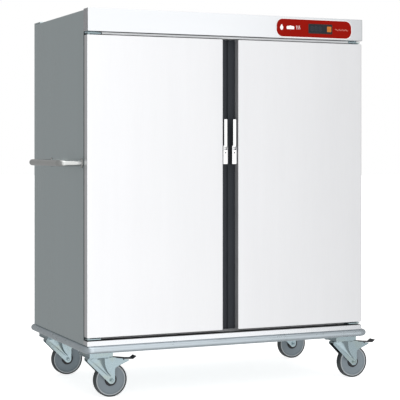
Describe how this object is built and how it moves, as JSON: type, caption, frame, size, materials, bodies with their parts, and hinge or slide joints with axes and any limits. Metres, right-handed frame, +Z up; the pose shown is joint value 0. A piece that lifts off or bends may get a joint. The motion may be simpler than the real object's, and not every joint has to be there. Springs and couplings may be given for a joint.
{
  "type": "proofing cabinet",
  "caption": "Heated dough proofing cabinet on swivel castors with two hinged doors, tray slides, fans, a side push handle and a bumper rail.",
  "frame": {"origin": "centre of the bounding box's footprint, on the floor under the wheels", "axes": "+X to the right seen from the front, +Y from the doors to the back, +Z up"},
  "size_m": [1.711, 0.912, 1.8145],
  "materials": {
    "stainless_door": "satin",
    "stainless_body": "satin",
    "stainless_liner": "satin",
    "polished_chrome": "polished",
    "zinc_plate": "satin",
    "black_steel": "satin",
    "bumper_grey": "matte",
    "dark_profile": "satin",
    "frame_plastic": "satin",
    "gasket_rubber": "matte",
    "foam_white": "matte",
    "door_core": "satin",
    "label_red": "satin",
    "display_black": "gloss",
    "key_orange": "satin",
    "wheel_grey": "matte",
    "motor_aluminium": "satin",
    "heater_steel": "satin",
    "inlet_black": "satin"
  },
  "bodies": {
    "cabinet": {"air_baffle": "stainless_liner", "back_panel": "stainless_body", "bumper_rail": "bumper_grey", "centre_rack": "stainless_liner", "chassis": "black_steel", "control_overlay": "label_red", "controller": "display_black", "front_frame": "frame_plastic", "front_left_castor_plate": "zinc_plate", "front_right_castor_plate": "zinc_plate", "header_fascia": "stainless_door", "heating_element": "heater_steel", "insulation": "foam_white", "left_fan_motor": "black_steel", "left_lower_hinge_plate": "zinc_plate", "left_rack": "stainless_liner", "left_side_panel": "stainless_body", "left_upper_hinge_plate": "zinc_plate", "liner": "stainless_liner", "power_inlet": "inlet_black", "push_handle": "stainless_door", "rear_left_castor_plate": "zinc_plate", "rear_right_castor_plate": "zinc_plate", "right_fan_motor": "black_steel", "right_lower_hinge_plate": "zinc_plate", "right_rack": "stainless_liner", "right_side_panel": "stainless_body", "right_upper_hinge_plate": "zinc_plate", "sill_panel": "stainless_door", "top_panel": "stainless_body"},
    "left_door": {"left_door_skin": "stainless_door", "left_door_inner_panel": "door_core", "left_meeting_profile": "dark_profile", "left_door_gasket": "gasket_rubber", "left_handle_base": "polished_chrome"},
    "left_lever": {"left_handle_lever": "polished_chrome"},
    "left_fan_rotor": {"left_fan": "motor_aluminium"},
    "right_door": {"right_door_skin": "stainless_door", "right_door_inner_panel": "door_core", "right_meeting_profile": "dark_profile", "right_door_gasket": "gasket_rubber", "right_handle_base": "polished_chrome"},
    "right_lever": {"right_handle_lever": "polished_chrome"},
    "right_fan_rotor": {"right_fan": "motor_aluminium"},
    "front_left_caster_fork": {"front_left_fork": "zinc_plate", "front_left_axle": "zinc_plate"},
    "front_left_caster_wheel": {"front_left_wheel": "wheel_grey"},
    "front_left_brake": {"front_left_brake_pedal": "black_steel"},
    "front_right_caster_fork": {"front_right_fork": "zinc_plate", "front_right_axle": "zinc_plate"},
    "front_right_caster_wheel": {"front_right_wheel": "wheel_grey"},
    "front_right_brake": {"front_right_brake_pedal": "black_steel"},
    "rear_left_caster_fork": {"rear_left_fork": "zinc_plate", "rear_left_axle": "zinc_plate"},
    "rear_left_caster_wheel": {"rear_left_wheel": "wheel_grey"},
    "rear_right_caster_fork": {"rear_right_fork": "zinc_plate", "rear_right_axle": "zinc_plate"},
    "rear_right_caster_wheel": {"rear_right_wheel": "wheel_grey"},
    "key": {"control_key": "key_orange"},
    "humidity_pan": {"water_pan": "stainless_liner"}
  },
  "joints": [
    {"name": "left_door_hinge", "type": "hinge", "parent": "cabinet", "child": "left_door", "pos_m": [-0.7195, -0.419, 0.2975], "axis": [0, 0, -1], "range_deg": [0, 180]},
    {"name": "left_lever_pull", "type": "hinge", "parent": "left_door", "child": "left_lever", "pos_m": [-0.03305, -0.42, 1.1697], "axis": [1, 0, 0], "range_deg": [0, 35], "stiffness_Nm_per_rad": 1.5, "springref_deg": -20.05},
    {"name": "left_fan_spin", "type": "hinge", "parent": "cabinet", "child": "left_fan_rotor", "pos_m": [-0.3395, 0.3095, 1.05], "axis": [0, 1, 0], "continuous": true},
    {"name": "right_door_hinge", "type": "hinge", "parent": "cabinet", "child": "right_door", "pos_m": [0.7005, -0.419, 0.2975], "axis": [0, 0, 1], "range_deg": [0, 180]},
    {"name": "right_lever_pull", "type": "hinge", "parent": "right_door", "child": "right_lever", "pos_m": [0.01405, -0.42, 1.1697], "axis": [1, 0, 0], "range_deg": [0, 35], "stiffness_Nm_per_rad": 1.5, "springref_deg": -20.05},
    {"name": "right_fan_spin", "type": "hinge", "parent": "cabinet", "child": "right_fan_rotor", "pos_m": [0.3205, 0.3095, 1.05], "axis": [0, 1, 0], "continuous": true},
    {"name": "front_left_swivel", "type": "hinge", "parent": "cabinet", "child": "front_left_caster_fork", "pos_m": [-0.6545, -0.316, 0.19], "axis": [0, 0, 1], "continuous": true},
    {"name": "front_left_roll", "type": "hinge", "parent": "front_left_caster_fork", "child": "front_left_caster_wheel", "pos_m": [-0.58, -0.316, 0.08], "axis": [0, 1, 0], "continuous": true},
    {"name": "front_left_brake_press", "type": "hinge", "parent": "front_left_caster_fork", "child": "front_left_brake", "pos_m": [-0.5195, -0.316, 0.174], "axis": [0, 1, 0], "range_deg": [0, 10]},
    {"name": "front_right_swivel", "type": "hinge", "parent": "cabinet", "child": "front_right_caster_fork", "pos_m": [0.6555, -0.316, 0.19], "axis": [0, 0, 1], "continuous": true},
    {"name": "front_right_roll", "type": "hinge", "parent": "front_right_caster_fork", "child": "front_right_caster_wheel", "pos_m": [0.73, -0.316, 0.08], "axis": [0, 1, 0], "continuous": true},
    {"name": "front_right_brake_press", "type": "hinge", "parent": "front_right_caster_fork", "child": "front_right_brake", "pos_m": [0.7905, -0.316, 0.174], "axis": [0, 1, 0], "range_deg": [0, 10]},
    {"name": "rear_left_swivel", "type": "hinge", "parent": "cabinet", "child": "rear_left_caster_fork", "pos_m": [-0.6545, 0.347, 0.19], "axis": [0, 0, 1], "continuous": true},
    {"name": "rear_left_roll", "type": "hinge", "parent": "rear_left_caster_fork", "child": "rear_left_caster_wheel", "pos_m": [-0.58, 0.347, 0.08], "axis": [0, 1, 0], "continuous": true},
    {"name": "rear_right_swivel", "type": "hinge", "parent": "cabinet", "child": "rear_right_caster_fork", "pos_m": [0.6555, 0.347, 0.19], "axis": [0, 0, 1], "continuous": true},
    {"name": "rear_right_roll", "type": "hinge", "parent": "rear_right_caster_fork", "child": "rear_right_caster_wheel", "pos_m": [0.73, 0.347, 0.08], "axis": [0, 1, 0], "continuous": true},
    {"name": "key_press", "type": "slide", "parent": "cabinet", "child": "key", "axis": [0, 1, 0], "range_m": [0, 0.0015], "stiffness_N_per_m": 400, "springref_m": -0.002},
    {"name": "pan_slide", "type": "slide", "parent": "cabinet", "child": "humidity_pan", "axis": [0, -1, 0], "range_m": [0, 0.36]}
  ]
}
